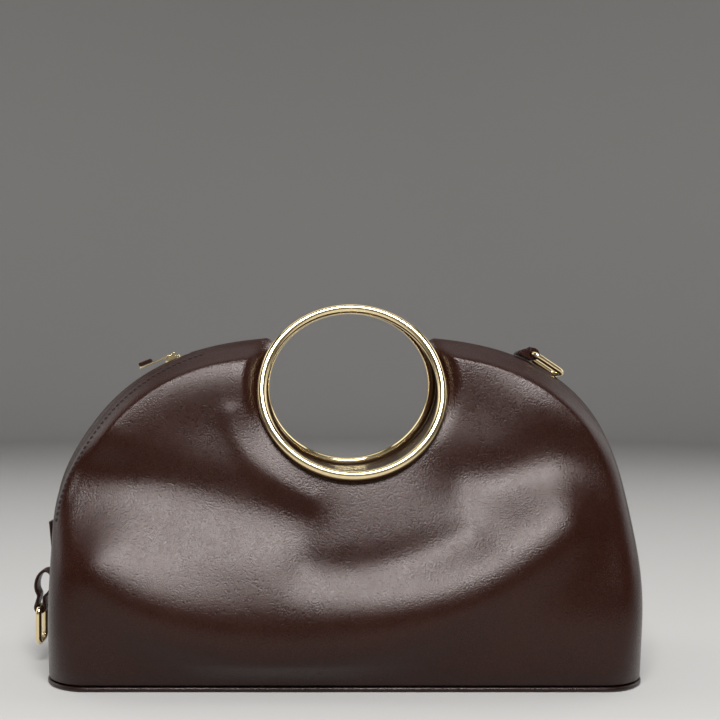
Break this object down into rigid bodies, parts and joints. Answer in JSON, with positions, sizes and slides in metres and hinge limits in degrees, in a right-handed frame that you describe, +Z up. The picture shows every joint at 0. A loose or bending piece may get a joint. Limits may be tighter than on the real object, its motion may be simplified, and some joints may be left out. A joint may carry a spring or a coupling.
{
  "type": "ring-handle bag",
  "caption": "Half-moon leather bag standing on a flat base, with polished ring handles, a zip down the left of its dome and rectangular strap rings held in leather tabs.",
  "frame": {"origin": "middle of the base, on the surface that the bag stands on", "axes": "+X to the right of someone facing the bag, +Y towards its back, +Z up"},
  "size_m": [0.3279, 0.1364, 0.1979],
  "materials": {
    "body_leather": "satin, fine grain",
    "trim_leather": "satin",
    "gold": "polished, pale gold",
    "zip_cloth": "woven, matt"
  },
  "bodies": {
    "bag": {"front_panel": "body_leather", "back_panel": "body_leather", "gusset_left": "body_leather", "gusset_right": "body_leather", "ring_collar": "body_leather", "base_panel": "trim_leather", "base_piping": "trim_leather", "front_ring": "gold", "back_ring": "gold", "zip_tape": "zip_cloth", "zip_coil": "zip_cloth", "zip_slider": "gold", "right_tab": "body_leather", "side_tab": "body_leather"},
    "right_ring": {"right_strap_ring": "gold"},
    "side_ring": {"side_strap_ring": "gold"},
    "zip_pull": {"zip_puller": "gold", "pull_tab": "body_leather"}
  },
  "joints": [
    {"name": "right_ring_hinge", "type": "hinge", "parent": "bag", "child": "right_ring", "pos_m": [0.10498, 0.0004, 0.16995], "axis": [0.0583, -0.9945, 0.0868], "range_deg": [0, 140]},
    {"name": "side_ring_hinge", "type": "hinge", "parent": "bag", "child": "side_ring", "pos_m": [-0.1665, 0, 0.0305], "axis": [0, 1, 0], "range_deg": [-12, 100]},
    {"name": "zip_pull_hinge", "type": "hinge", "parent": "bag", "child": "zip_pull", "pos_m": [-0.0946, 0, 0.16958], "axis": [0, 1, 0], "range_deg": [-12, 138]}
  ]
}
